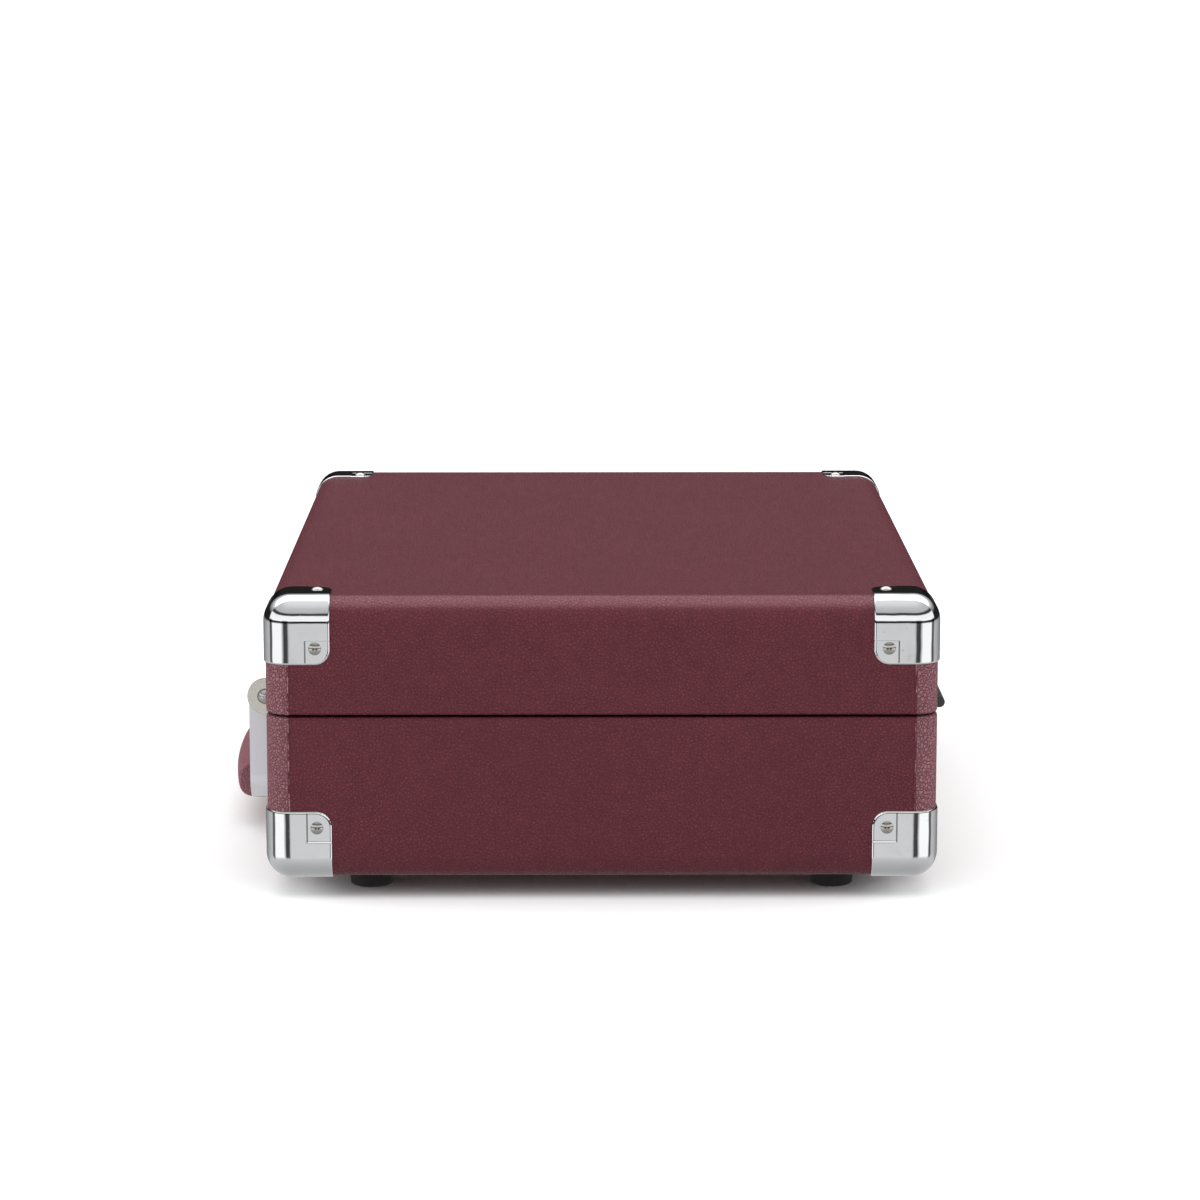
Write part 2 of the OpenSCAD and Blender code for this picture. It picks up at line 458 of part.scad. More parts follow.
// ---------------------------------------------------------------- hinges
module leaf(up) {                     // flat leaf, clear of the barrel
  translate([0, hy, up ? z_part + 8.6 : z_part - 8.6]) rotate([-90, 0, 0]) linear_extrude(1.1) rrect(hinge_w, 11, 1.5);
}
module knuckle(x0, l, up) {
  difference() {
    union() {
      translate([x0, hinge_y, z_part]) rotate([0, 90, 0]) cylinder(r = barrel_r, h = l);
      translate([x0, hy, up ? z_part + 0.8 : z_part - 5]) cube([l, 1.1, 4.2]);
      translate([x0, hy, up ? z_part + 0.6 : z_part - 1.8]) cube([l, 2, 1.2]);
    }
    translate([x0 - 1, hinge_y, z_part]) rotate([0, 90, 0]) cylinder(r = 1.1, h = l + 2);
  }
}
module hinge_base_leaves() { color([0.2, 0.2, 0.21]) place() pair() translate([hinge_x, 0, 0]) {
  leaf(false);
  for (x = [-19, 7.2]) knuckle(x, 11.8, false);
  translate([-19, hinge_y, z_part]) rotate([0, 90, 0]) cylinder(r = 1.1, h = 38);
} }
module hinge_lid_leaves() { color([0.2, 0.2, 0.21]) place() pair() translate([hinge_x, 0, 0]) difference() {
  union() { leaf(true); knuckle(-6.8, 13.6, true); }
  translate([-20, hinge_y, z_part]) rotate([0, 90, 0]) cylinder(r = 1.15, h = 40);
} }
// ---- draw
base_shell();
base_covering();
base_corner_plates();
base_corner_nails();
rubber_feet();
deck_plate();
case_screws();
motor();
motor_grommets();
motor_shaft();
motor_pulley();
drive_belt();
spindle();
thrust_washer();
platter();
platter_bush();
slipmat();
tonearm_base();
arm_yoke();
tonearm_tube();
headshell();
cartridge();
stylus();
counterweight();
arm_rest();
cue_bracket();
cue_lever();
cue_lift();
volume_knob();
tone_knob();
speed_switch();
autostop_switch();
source_switch();
potentiometers();
switch_bodies();
power_led();
headphone_jack();
adapter_45();
speaker_frames();
speaker_cones();
speaker_magnets();
main_board();
rear_panel();
rear_jacks();
latch_plates();
latch_bolt_left();
latch_bolt_right();
hasp_left();
hasp_right();
hasp_hinges();
handle_brackets();
handle_frame();
handle_grip();
hinge_base_leaves();
hinge_lid_leaves();
lid_shell();
lid_covering();
lid_corner_plates();
lid_corner_nails();
lid_lining();
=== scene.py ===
import bpy, bmesh, json, math
import numpy as np
from mathutils import Vector, Matrix


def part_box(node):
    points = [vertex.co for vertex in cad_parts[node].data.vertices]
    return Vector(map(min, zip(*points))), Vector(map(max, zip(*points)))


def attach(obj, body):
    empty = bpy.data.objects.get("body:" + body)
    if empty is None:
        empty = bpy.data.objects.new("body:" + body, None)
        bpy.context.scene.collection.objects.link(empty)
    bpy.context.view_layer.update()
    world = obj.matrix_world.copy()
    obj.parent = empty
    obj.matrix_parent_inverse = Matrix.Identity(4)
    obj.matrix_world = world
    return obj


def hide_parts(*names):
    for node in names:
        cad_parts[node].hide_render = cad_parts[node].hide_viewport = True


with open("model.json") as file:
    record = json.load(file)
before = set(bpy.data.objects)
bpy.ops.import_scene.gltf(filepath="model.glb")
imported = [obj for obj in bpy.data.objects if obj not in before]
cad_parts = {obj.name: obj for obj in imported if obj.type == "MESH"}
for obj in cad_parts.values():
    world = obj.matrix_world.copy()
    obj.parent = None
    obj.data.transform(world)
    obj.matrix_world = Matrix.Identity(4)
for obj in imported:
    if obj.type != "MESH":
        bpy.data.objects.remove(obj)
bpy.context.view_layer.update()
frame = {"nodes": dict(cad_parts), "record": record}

MM = 0.001
nodes = frame["nodes"]

# ---------------------------------------------------------------- places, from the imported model
_lo, _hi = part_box("base_covering")
YO = (_lo.y + _hi.y) / 2 / MM                 # the case's middle, in mm
HX, HY = _hi.x / MM, (_hi.y - _lo.y) / 2 / MM
Z0, RIM = _lo.z / MM, _hi.z / MM
_lo, _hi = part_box("lid_covering")
LID_Z, Z_TOP = _lo.z / MM, _hi.z / MM
R = 10.0
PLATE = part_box("base_corner_plates")[1].x / MM - HX


def P(x, y, z):
    """A point given in mm in the case's own axes, in metres in the row's frame."""
    return (x * MM, (y + YO) * MM, z * MM)


# ---------------------------------------------------------------- camera
def camera():
    cam = bpy.data.cameras.new("camera")
    ob = bpy.data.objects.new("camera", cam)
    bpy.context.scene.collection.objects.link(ob)
    cam.sensor_width = 36.0
    cam.lens = 118.54
    cam.clip_end = 100
    pitch, yaw = 0.177173, -0.0055235
    fw = Vector((-math.cos(yaw) * math.cos(pitch), -math.sin(yaw) * math.cos(pitch), -math.sin(pitch)))
    right = Vector((-math.sin(yaw), math.cos(yaw), 0))
    up = right.cross(fw)
    m = Matrix((right, up, -fw)).transposed().to_4x4()
    m.translation = Vector((1.7079, -0.00928 + YO * MM, 0.3954))
    ob.matrix_world = m
    bpy.context.scene.camera = ob
    return ob


camera()

# ---------------------------------------------------------------- node helpers
class N:
    """Small helper that makes a node tree read like a list of sums."""
    def __init__(self, mat):
        self.t = mat.node_tree
        self.n = self.t.nodes
        self.l = self.t.links

    def new(self, kind, **props):
        node = self.n.new(kind)
        for k, v in props.items():
            setattr(node, k, v)
        return node

    def put(self, sock, v):
        if isinstance(v, bpy.types.NodeSocket):
            self.l.new(v, sock)
        elif v is not None:
            sock.default_value = v

    def math(self, op, a, b=None, c=None, clamp=False):
        m = self.new("ShaderNodeMath", operation=op, use_clamp=clamp)
        self.put(m.inputs[0], a)
        self.put(m.inputs[1], b)
        self.put(m.inputs[2], c)
        return m.outputs[0]

    def vmath(self, op, a, b=None):
        m = self.new("ShaderNodeVectorMath", operation=op)
        self.put(m.inputs[0], a)
        self.put(m.inputs[1], b)
        return m.outputs[0]

    def mix(self, f, a, b):
        m = self.new("ShaderNodeMix", data_type="RGBA")
        self.put(m.inputs[0], f)
        self.put(m.inputs[6], a)
        self.put(m.inputs[7], b)
        return m.outputs[2]

    def ramp(self, v, lo, hi, a=0.0, b=1.0, smooth=True):
        m = self.new("ShaderNodeMapRange", interpolation_type="SMOOTHSTEP" if smooth else "LINEAR")
        self.put(m.inputs[0], v)
        for i, x in enumerate((lo, hi, a, b)):
            m.inputs[i + 1].default_value = x
        return m.outputs[0]

    def noise(self, vec, scale, detail=2.0, rough=0.5, dist=0.0):
        m = self.new("ShaderNodeTexNoise")
        self.put(m.inputs["Vector"], vec)
        m.inputs["Scale"].default_value = scale
        m.inputs["Detail"].default_value = detail
        m.inputs["Roughness"].default_value = rough
        m.inputs["Distortion"].default_value = dist
        return m.outputs[0]

    def voronoi(self, vec, scale, feature="F1", rand=1.0, out="Distance", smooth=None):
        m = self.new("ShaderNodeTexVoronoi", feature=feature)
        self.put(m.inputs["Vector"], vec)
        m.inputs["Scale"].default_value = scale
        m.inputs["Randomness"].default_value = rand
        if smooth is not None:
            m.inputs["Smoothness"].default_value = smooth
        return m.outputs[out]

    def bump(self, h, strength, distance, normal=None):
        m = self.new("ShaderNodeBump")
        m.inputs["Strength"].default_value = strength
        m.inputs["Distance"].default_value = distance
        self.put(m.inputs["Height"], h)
        if normal is not None:
            self.put(m.inputs["Normal"], normal)
        return m.outputs[0]

    def obj(self):
        return self.new("ShaderNodeTexCoord").outputs["Object"]

    def xyz(self, v):
        s = self.new("ShaderNodeSeparateXYZ")
        self.put(s.inputs[0], v)
        return s.outputs


def material(name, **sockets):
    m = bpy.data.materials.new(name)
    m.use_nodes = True
    b = m.node_tree.nodes["Principled BSDF"]
    for k, v in sockets.items():
        b.inputs[k.replace("_", " ")].default_value = v
    return m, N(m), b


def srgb(r, g, b, k=1.0):
    f = lambda c: ((c / 255 + 0.055) / 1.055) ** 2.4 if c > 10 else c / 255 / 12.92
    return (f(r) * k, f(g) * k, f(b) * k, 1.0)


# ---------------------------------------------------------------- materials
def leatherette(name, base, deep, light, seam=None, scale=760.0):
    """Pebble-grained coated cloth: rounded cells with creases between them, fine pores, slow colour drift."""
    m, n, b = material(name, Roughness=0.5, Specular_IOR_Level=0.24)
    o = n.obj()
    jit = n.new("ShaderNodeTexNoise")
    n.put(jit.inputs["Vector"], o)
    jit.inputs["Scale"].default_value = 420.0
    jit.inputs["Detail"].default_value = 1.0
    sc = n.new("ShaderNodeVectorMath", operation="SCALE")
    n.put(sc.inputs[0], jit.outputs["Color"])
    sc.inputs["Scale"].default_value = 0.0012
    vec = n.vmath("ADD", o, sc.outputs[0])
    cell = n.voronoi(vec, scale, "SMOOTH_F1", 1.0, smooth=0.35)
    edge = n.voronoi(vec, scale, "DISTANCE_TO_EDGE")
    fine = n.voronoi(vec, scale * 2.3, "F1")
    crease = n.ramp(edge, 0.0, 0.16)
    dome = n.math("SUBTRACT", 1.0, n.math("MULTIPLY", cell, 1.1))
    h = n.math("ADD", n.math("MULTIPLY", crease, 0.55), n.math("MULTIPLY", dome, 0.45))
    h = n.math("ADD", h, n.math("MULTIPLY", fine, -0.14))
    h = n.math("ADD", h, n.math("MULTIPLY", n.noise(o, 2600.0, 2.0), 0.10))
    big = n.noise(o, 16.0, 2.0, 0.5)
    mid = n.noise(o, 150.0, 3.0, 0.6)
    tone = n.math("ADD", n.math("MULTIPLY", n.math("SUBTRACT", big, 0.5), 0.20),
                  n.math("MULTIPLY", n.math("SUBTRACT", mid, 0.5), 0.35))
    c = n.mix(n.ramp(tone, -0.45, 0.30), deep, base)
    # painted shade: the creases between the cells are darkened towards the deep colour
    c = n.mix(n.math("MULTIPLY", n.math("SUBTRACT", 1.0, crease), 0.38), c, deep)
    c = n.mix(n.math("MULTIPLY", n.ramp(dome, 0.55, 1.0), 0.10), c, light)
    grain = 0.8
    if seam is not None:
        x, y, z = n.xyz(o)
        ax, ay = n.math("ABSOLUTE", x), n.math("ABSOLUTE", n.math("SUBTRACT", y, YO * MM))
        # painted highlight: over the upright rounded corners the colour is made paler, and painted shade deepens the
        # creases there; the grain also opens up
        turn = n.math("MULTIPLY", n.ramp(ay, seam + 0.0001, seam + 0.0006), n.ramp(ax, (HX - R - 14) * MM, (HX - R + 2) * MM))
        c = n.mix(n.math("MULTIPLY", turn, 0.96), c, light)
        c = n.mix(n.math("MULTIPLY", turn, n.math("MULTIPLY", n.math("SUBTRACT", 1.0, crease), 0.46)), c, deep)
        # painted highlight: a paler band is painted along the upper edges of the lid's two ends
        painted_edge_highlight = n.ramp(ax, (HX - 9.8) * MM, (HX - 7.4) * MM)
        painted_edge_highlight = n.math("MULTIPLY", painted_edge_highlight, n.ramp(z, (Z_TOP - 5.0) * MM, (Z_TOP - 1.9) * MM))
        c = n.mix(n.math("MULTIPLY", painted_edge_highlight, 0.46), c, light)
        grain = n.math("MULTIPLY_ADD", turn, 1.2, 0.8)
        # the cut edge of the end panels shows as a thin, broken, paler line
        zz = n.new("ShaderNodeCombineXYZ")
        n.put(zz.inputs[2], z)
        n.put(zz.inputs[1], n.math("MULTIPLY", y, 0.5))
        wander = n.math("MULTIPLY", n.math("SUBTRACT", n.noise(zz.outputs[0], 60.0, 2.0), 0.5), 0.0010)
        d = n.math("ABSOLUTE", n.math("SUBTRACT", n.math("ADD", ay, wander), seam))
        line = n.ramp(d, 0.00010, 0.00036, 1.0, 0.0)
        line = n.math("MULTIPLY", line, n.ramp(ax, (HX - 0.7) * MM, (HX - 0.45) * MM))
        broken = n.ramp(n.noise(zz.outputs[0], 190.0, 3.0, 0.75), 0.44, 0.62)
        line = n.math("MULTIPLY", line, broken)
        c = n.mix(n.math("MULTIPLY", line, 0.62), c, srgb(190, 146, 148))
        h = n.math("ADD", h, n.math("MULTIPLY", line, 0.3))
        h = n.math("MULTIPLY", h, grain)
    n.put(b.inputs["Base Color"], c)
    r = n.math("MULTIPLY_ADD", n.math("SUBTRACT", 1.0, crease), 0.16, 0.40)
    r = n.math("ADD", r, n.math("MULTIPLY", n.math("SUBTRACT", mid, 0.5), 0.10))
    n.put(b.inputs["Roughness"], r)
    slow = n.bump(n.noise(o, 14.0, 2.0), 0.25, 0.0012)
    n.put(b.inputs["Normal"], n.bump(h, 1.0, 0.00060, slow))
    return m


def plated(name, col, rough=0.045, warm=0.0, dull=0.0):
    """Bright plating on pressed steel: near mirror, with faint haze, wiping marks and slight waviness."""
    m, n, b = material(name, Metallic=1.0)
    o = n.obj()
    haze = n.noise(o, 90.0, 4.0, 0.6)
    spots = n.ramp(n.noise(o, 620.0, 2.0, 0.5), 0.66, 0.74)
    tint = tuple(c * k for c, k in zip(col[:3], (0.93, 0.92, 0.90))) + (1,)
    n.put(b.inputs["Base Color"], n.mix(n.math("MULTIPLY", haze, 0.55), col, tint))
    st = n.new("ShaderNodeMapping")
    n.put(st.inputs["Vector"], o)
    st.inputs["Scale"].default_value = (60, 60, 900)
    fine = n.noise(st.outputs[0], 3.0, 3.0)
    r = n.math("MULTIPLY_ADD", haze, 0.07 + dull, rough)
    r = n.math("ADD", r, n.math("MULTIPLY", spots, 0.10))
    n.put(b.inputs["Roughness"], r)
    wave = n.bump(n.noise(o, 75.0, 1.5), 0.45, 0.00060)
    n.put(b.inputs["Normal"], n.bump(fine, 0.05, 0.00004, wave))
    return m


def satin(name, col, rough=0.34, axis=2, aniso=900.0, metallic=1.0, lined=1.0, bolt=None):
    """Brushed metal: long fine lines along one axis."""
    m, n, b = material(name, Metallic=metallic)
    o = n.obj()
    st = n.new("ShaderNodeMapping")
    n.put(st.inputs["Vector"], o)
    s = [aniso, aniso, aniso]
    s[axis] = 14.0
    st.inputs["Scale"].default_value = s
    lines = n.noise(st.outputs[0], 2.0, 3.0, 0.7)
    blot = n.noise(o, 60.0, 3.0)
    dark = tuple(c * 0.86 for c in col[:3]) + (1,)
    c = n.mix(n.math("MULTIPLY_ADD", lines, 0.6 * lined, n.math("MULTIPLY", blot, 0.3)), col, dark)
    r = n.math("MULTIPLY_ADD", lines, 0.16 * lined, rough - 0.06)
    if bolt:
        # a polished bolt head about an axis along X, with painted shade in a dark ring where it meets the bracket
        x, y, z = n.xyz(o)
        dy, dz = n.math("SUBTRACT", y, bolt[0] * MM), n.math("SUBTRACT", z, bolt[1] * MM)
        rad = n.math("SQRT", n.math("ADD", n.math("MULTIPLY", dy, dy), n.math("MULTIPLY", dz, dz)))
        head = n.ramp(rad, 2.95 * MM, 3.1 * MM, 1.0, 0.0)
        ring = n.math("MULTIPLY", n.ramp(rad, 2.6 * MM, 2.9 * MM), n.ramp(rad, 3.1 * MM, 3.6 * MM, 1.0, 0.0))
        c = n.mix(head, c, (0.50, 0.49, 0.47, 1))
        # painted shade: the ring round the edge of the head is darkened
        c = n.mix(n.math("MULTIPLY", ring, 0.75), c, (0.09, 0.085, 0.075, 1))
        r = n.math("MULTIPLY", r, n.math("MULTIPLY_ADD", head, -0.55, 1.0))
    n.put(b.inputs["Base Color"], c)
    n.put(b.inputs["Roughness"], r)
    n.put(b.inputs["Normal"], n.bump(lines, 0.12 * lined, 0.00005))
    return m


def turned(name, col, centre, rough=0.25):
    """Lathe-turned metal: rings about a centre in the XY plane."""
    m, n, b = material(name, Metallic=1.0)
    o = n.obj()
    d = n.vmath("SUBTRACT", o, (centre[0], centre[1], 0))
    x, y, z = n.xyz(d)
    rad = n.math("SQRT", n.math("ADD", n.math("MULTIPLY", x, x), n.math("MULTIPLY", y, y)))
    cx = n.new("ShaderNodeCombineXYZ")
    n.put(cx.inputs[0], rad)
    n.put(cx.inputs[2], z)
    rings = n.noise(cx.outputs[0], 2600.0, 2.0, 0.6)
    dark = tuple(c * 0.82 for c in col[:3]) + (1,)
    n.put(b.inputs["Base Color"], n.mix(rings, col, dark))
    n.put(b.inputs["Roughness"], n.math("MULTIPLY_ADD", rings, 0.16, rough - 0.05))
    n.put(b.inputs["Normal"], n.bump(rings, 0.2, 0.00004))
    return m


def plastic(name, col, rough=0.45, grain=1500.0, depth=0.00006, spec=0.5, wear=None):
    """Moulded plastic with a spark-eroded texture and faint handling marks."""
    m, n, b = material(name, Specular_IOR_Level=spec)
    o = n.obj()
    g = n.noise(o, grain, 3.0, 0.6)
    big = n.noise(o, 35.0, 3.0, 0.5)
    up = wear or tuple(min(1, c * 1.5 + 0.006) for c in col[:3]) + (1,)
    n.put(b.inputs["Base Color"], n.mix(n.math("MULTIPLY_ADD", big, 0.35, n.math("MULTIPLY", g, 0.25)), col, up))
    n.put(b.inputs["Roughness"], n.math("MULTIPLY_ADD", big, 0.14, n.math("MULTIPLY_ADD", g, 0.08, rough - 0.1)))
    n.put(b.inputs["Normal"], n.bump(g, 0.35, depth))
    return m


def rubber(name, col):
    m, n, b = material(name, Specular_IOR_Level=0.35)
    o = n.obj()
    g = n.noise(o, 1100.0, 4.0, 0.65)
    dust = n.ramp(n.noise(o, 160.0, 3.0), 0.45, 0.75)
    n.put(b.inputs["Base Color"], n.mix(n.math("MULTIPLY", dust, 0.25), col, (0.05, 0.048, 0.046, 1)))
    n.put(b.inputs["Roughness"], n.math("MULTIPLY_ADD", g, 0.2, 0.62))
    n.put(b.inputs["Normal"], n.bump(g, 0.4, 0.00008))
    return m


def felt(name, col, pile=2600.0):
    m, n, b = material(name, Roughness=0.95, Specular_IOR_Level=0.2, Sheen_Weight=0.35, Sheen_Roughness=0.5)
    o = n.obj()
    f = n.noise(o, pile, 4.0, 0.7, 1.5)
    tuft = n.noise(o, 420.0, 3.0, 0.6)
    lightc = tuple(c * 1.9 + 0.006 for c in col[:3]) + (1,)
    n.put(b.inputs["Base Color"], n.mix(n.math("MULTIPLY_ADD", f, 0.6, n.math("MULTIPLY", tuft, 0.3)), col, lightc))
    n.put(b.inputs["Normal"], n.bump(n.math("ADD", f, tuft), 0.6, 0.00018))
    return m


def board(name):
    m, n, b = material(name, Roughness=0.85)
    o = n.obj()
    st = n.new("ShaderNodeMapping")
    n.put(st.inputs["Vector"], o)
    st.inputs["Scale"].default_value = (700, 700, 2400)
    f = n.noise(st.outputs[0], 1.0, 5.0, 0.75)
    raw = n.mix(f, srgb(150, 118, 84), srgb(104, 78, 52))
    # above the deck the inside of the wall is painted to match the cloth
    x, y, z = n.xyz(o)
    ax, ay = n.math("ABSOLUTE", x), n.math("ABSOLUTE", n.math("SUBTRACT", y, YO * MM))
    inner = n.math("MULTIPLY", n.math("LESS_THAN", ax, (HX - 6.4) * MM), n.math("LESS_THAN", ay, (HY - 6.4) * MM))
    paint = n.math("MULTIPLY", inner, n.math("GREATER_THAN", z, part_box("deck_plate")[0].z + 0.002))
    n.put(b.inputs["Base Color"], n.mix(paint, raw, n.mix(f, (0.045, 0.009, 0.014, 1), (0.030, 0.007, 0.010, 1))))
    n.put(b.inputs["Normal"], n.bump(f, 0.4, 0.0002))
    return m


def circuit(name):
    m, n, b = material(name, Roughness=0.4)
    o = n.obj()
    br = n.new("ShaderNodeTexBrick")
    n.put(br.inputs["Vector"], o)
    br.inputs["Scale"].default_value = 260.0
    br.inputs["Mortar Size"].default_value = 0.012
    br.inputs["Color1"].default_value = srgb(20, 92, 46)
    br.inputs["Color2"].default_value = srgb(24, 104, 52)
    br.inputs["Mortar"].default_value = srgb(96, 150, 84)
    x, y, z = n.xyz(o)
    upper = n.ramp(z, 0.02358, 0.02362)
    parts = n.mix(n.noise(o, 70.0, 1.0), srgb(40, 40, 44), srgb(22, 22, 24))
    n.put(b.inputs["Base Color"], n.mix(upper, br.outputs["Color"], parts))
    n.put(b.inputs["Normal"], n.bump(br.outputs["Fac"], 0.3, 0.0001))
    return m


def cone_paper(name):
    m, n, b = material(name, Roughness=0.8)
    o = n.obj()
    f = n.noise(o, 900.0, 4.0, 0.7)
    n.put(b.inputs["Base Color"], n.mix(f, (0.018, 0.018, 0.019, 1), (0.05, 0.049, 0.047, 1)))
    n.put(b.inputs["Normal"], n.bump(f, 0.5, 0.0002))
    return m


def tinted(name, col):
    m, n, b = material(name, Roughness=0.12, Transmission_Weight=0.35, IOR=1.49)
    o = n.obj()
    f = n.noise(o, 500.0, 2.0)
    n.put(b.inputs["Base Color"], n.mix(f, col, tuple(c * 0.6 for c in col[:3]) + (1,)))
    return m


# colour of the coated cloth: at its brightest cells; in its creases, where it also serves as painted shade; and the
# paler tone of the cell tops, also used as painted highlight on the rounded corners and the lid's upper end edges
LEATHER = ((0.129, 0.0236, 0.0358, 1), (0.080, 0.0138, 0.0218, 1), (0.27, 0.112, 0.132, 1))
M = {
    "leatherette": leatherette("leatherette", *LEATHER, seam=(HY - R + 0.75) * MM),
    "grip_leatherette": leatherette("grip_leatherette", (0.31, 0.135, 0.160, 1), (0.20, 0.066, 0.083, 1), (0.40, 0.22, 0.25, 1), scale=900.0),
    "bright_plating": plated("bright_plating", (0.86, 0.87, 0.88, 1), 0.03),
    "nickel_bracket": satin("nickel_bracket", (0.97, 0.93, 0.84, 1), 0.26, axis=1, metallic=0.8, lined=0.5, bolt=(-131.65, 60.9)),
    "satin_strap": satin("satin_strap", (0.96, 0.96, 1.0, 1), 0.33, metallic=0.6, lined=0.35),
    "dark_hinge": plastic("dark_hinge", (0.035, 0.03, 0.03, 1), 0.38, 900.0, spec=0.6),
    "foot_rubber": rubber("foot_rubber", (0.012, 0.0115, 0.012, 1)),
    "screw_steel": satin("screw_steel", (0.58, 0.58, 0.60, 1), 0.3, axis=0),
    "deck_black": plastic("deck_black", (0.016, 0.016, 0.017, 1), 0.5, 1300.0, 0.00009),
    "knob_black": plastic("knob_black", (0.014, 0.014, 0.015, 1), 0.26, 2200.0, 0.00002),
    "yoke_grey": plastic("yoke_grey", (0.05, 0.05, 0.054, 1), 0.36, 1800.0, 0.00003),
    "arm_aluminium": satin("arm_aluminium", (0.80, 0.80, 0.82, 1), 0.2, axis=1),
    "turned_steel": satin("turned_steel", (0.62, 0.62, 0.64, 1), 0.28, axis=0),
    "brass": satin("brass", (0.72, 0.52, 0.24, 1), 0.24, axis=2),
    "nylon": plastic("nylon", (0.70, 0.68, 0.60, 1), 0.42, 900.0, 0.00003),
    "platter_black": turned("platter_black", (0.09, 0.09, 0.095, 1), (0, 0)),
    "felt": felt("felt", (0.016, 0.016, 0.018, 1)),
    "cartridge_red": plastic("cartridge_red", (0.36, 0.012, 0.014, 1), 0.2, 2400.0, 0.00001),
    "led_red": tinted("led_red", (0.62, 0.02, 0.012, 1)),
    "control_grey": plastic("control_grey", (0.10, 0.10, 0.105, 1), 0.45, 1300.0),
    "speaker_steel": plastic("speaker_steel", (0.05, 0.05, 0.052, 1), 0.4, 900.0),
    "cone_paper": cone_paper("cone_paper"),
    "board_green": circuit("board_green"),
    "ink": plastic("ink", (0.62, 0.62, 0.60, 1), 0.5, 1800.0, 0.00002),
    "nail": plated("nail", (0.52, 0.50, 0.47, 1), 0.13),
    "jack_nickel": plated("jack_nickel", (0.76, 0.74, 0.70, 1), 0.12),
    "lid_cloth": felt("lid_cloth", (0.022, 0.013, 0.015, 1), 1800.0),
    "mdf": board("mdf"),
}

# ---------------------------------------------------------------- mesh helpers
BODY_OF = {n: b for b, ns in frame["record"]["behaviour"]["bodies"].items() for n in ns}


def mesh_object(name, bm, mat, body, slot=None, replaces=(), smooth=40.0, weighted=True):
    bmesh.ops.recalc_face_normals(bm, faces=bm.faces)
    me = bpy.data.meshes.new(name)
    bm.to_mesh(me)
    bm.free()
    ob = bpy.data.objects.new(name, me)
    bpy.context.scene.collection.objects.link(ob)
    me.materials.append(M[mat])
    for p in me.polygons:
        p.use_smooth = True
    me.set_sharp_from_angle(angle=math.radians(smooth))
    if weighted:
        w = ob.modifiers.new("normals", "WEIGHTED_NORMAL")
        w.keep_sharp = True
        w.weight = 80
    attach(ob, body)
    if replaces:
        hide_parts(*replaces)
    return ob


def from_arrays(name, verts, faces, *a, merge=1e-6, **k):
    bm = bmesh.new()
    vs = [bm.verts.new(v) for v in verts]
    for f in faces:
        f = [i for j, i in enumerate(f) if i != f[j - 1]]
        if len(set(f)) < 3:
            continue
        try:
            bm.faces.new([vs[i] for i in f])
        except ValueError:
            pass
    if merge:
        bmesh.ops.remove_doubles(bm, verts=bm.verts, dist=merge)
    return mesh_object(name, bm, *a, **k)


def revolve(profile, segs=48):
    """Verts and faces of a profile of (radius, height) pairs turned about Z. Ends on the axis close it."""
    verts, faces, rings = [], [], []
    for r, z in profile:
        if r < 1e-9:
            rings.append([len(verts)] * segs)
            verts.append((0, 0, z))
        else:
            ring = []
            for i in range(segs):
                a = 2 * math.pi * i / segs
                ring.append(len(verts))
                verts.append((r * math.cos(a), r * math.sin(a), z))
            rings.append(ring)
    for a, b in zip(rings, rings[1:]):
        for i in range(segs):
            j = (i + 1) % segs
            faces.append([a[i], a[j], b[j], b[i]])
    return verts, faces


# ---------------------------------------------------------------- coverings
def perimeter(e, step=True):
    """Points round the case's outline, e mm inside it. The end panels stand a little proud of the wrapped corners."""
    r = max(R - e, 0.02)
    cx, cy = HX - R, HY - R
    pts = []

    def arc(sx, sy, a0):
        for i in range(17):
            a = math.radians(a0 + 90 * i / 16)
            pts.append((sx * cx + r * math.cos(a), sy * cy + r * math.sin(a)))

    ex, ey = cx + r, cy + r
    lift = 0.22 if step and e < 1e-6 else 0.0

    def side_x(sx, y0, y1, k):       # an end panel, lifted between its seams
        d = 1 if y1 > y0 else -1
        pts.append((sx * ex, y0 + d * 0.10))
        pts.append((sx * (ex + lift), y0 + d * 0.16))
        for i in range(1, k):
            pts.append((sx * (ex + lift), y0 + (y1 - y0) * i / k))
        pts.append((sx * (ex + lift), y1 - d * 0.16))
        pts.append((sx * ex, y1 - d * 0.10))

    def side_y(sy, x0, x1, k):
        for i in range(1, k):
            pts.append((x0 + (x1 - x0) * i / k, sy * ey))

    side_x(1, -cy, cy, 24)
    arc(1, 1, 0)
    side_y(1, cx, -cx, 32)
    arc(-1, 1, 90)
    side_x(-1, cy, -cy, 24)
    arc(-1, -1, 180)
    side_y(-1, -cx, cx, 32)
    arc(1, -1, 270)
    return pts


